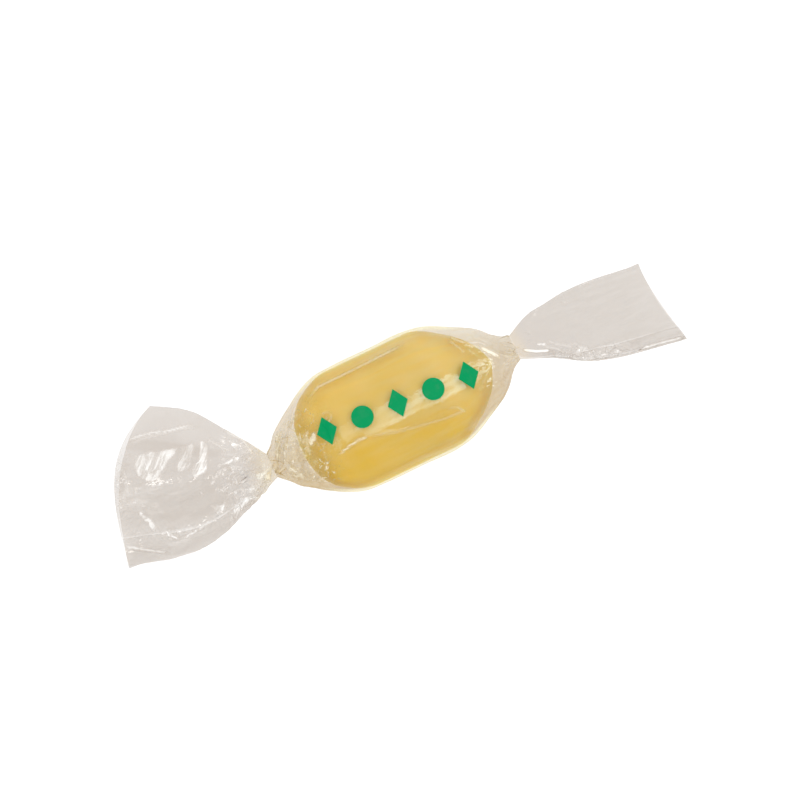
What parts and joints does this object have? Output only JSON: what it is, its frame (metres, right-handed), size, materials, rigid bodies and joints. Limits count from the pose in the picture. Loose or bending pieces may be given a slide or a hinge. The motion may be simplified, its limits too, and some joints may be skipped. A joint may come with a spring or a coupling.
{
  "type": "wrapped hard candy",
  "caption": "Honey-coloured boiled sweet, an oval lozenge, rolled in clear film that is twisted shut at both ends and fans out into two flat tails.",
  "frame": {"origin": "centre of the small flat resting spot under the sweet, on the table", "axes": "+X along the sweet towards the narrow tail, -Z straight down into the table, +Y towards the high corner of the wide tail"},
  "size_m": [0.0755, 0.0212, 0.0127],
  "materials": {
    "candy": "cloudy honey-yellow boiled sugar",
    "film": "clear glossy cellulose film, slightly warm"
  },
  "bodies": {
    "root": {"candy": "candy", "wrapper": "film"}
  },
  "joints": []
}
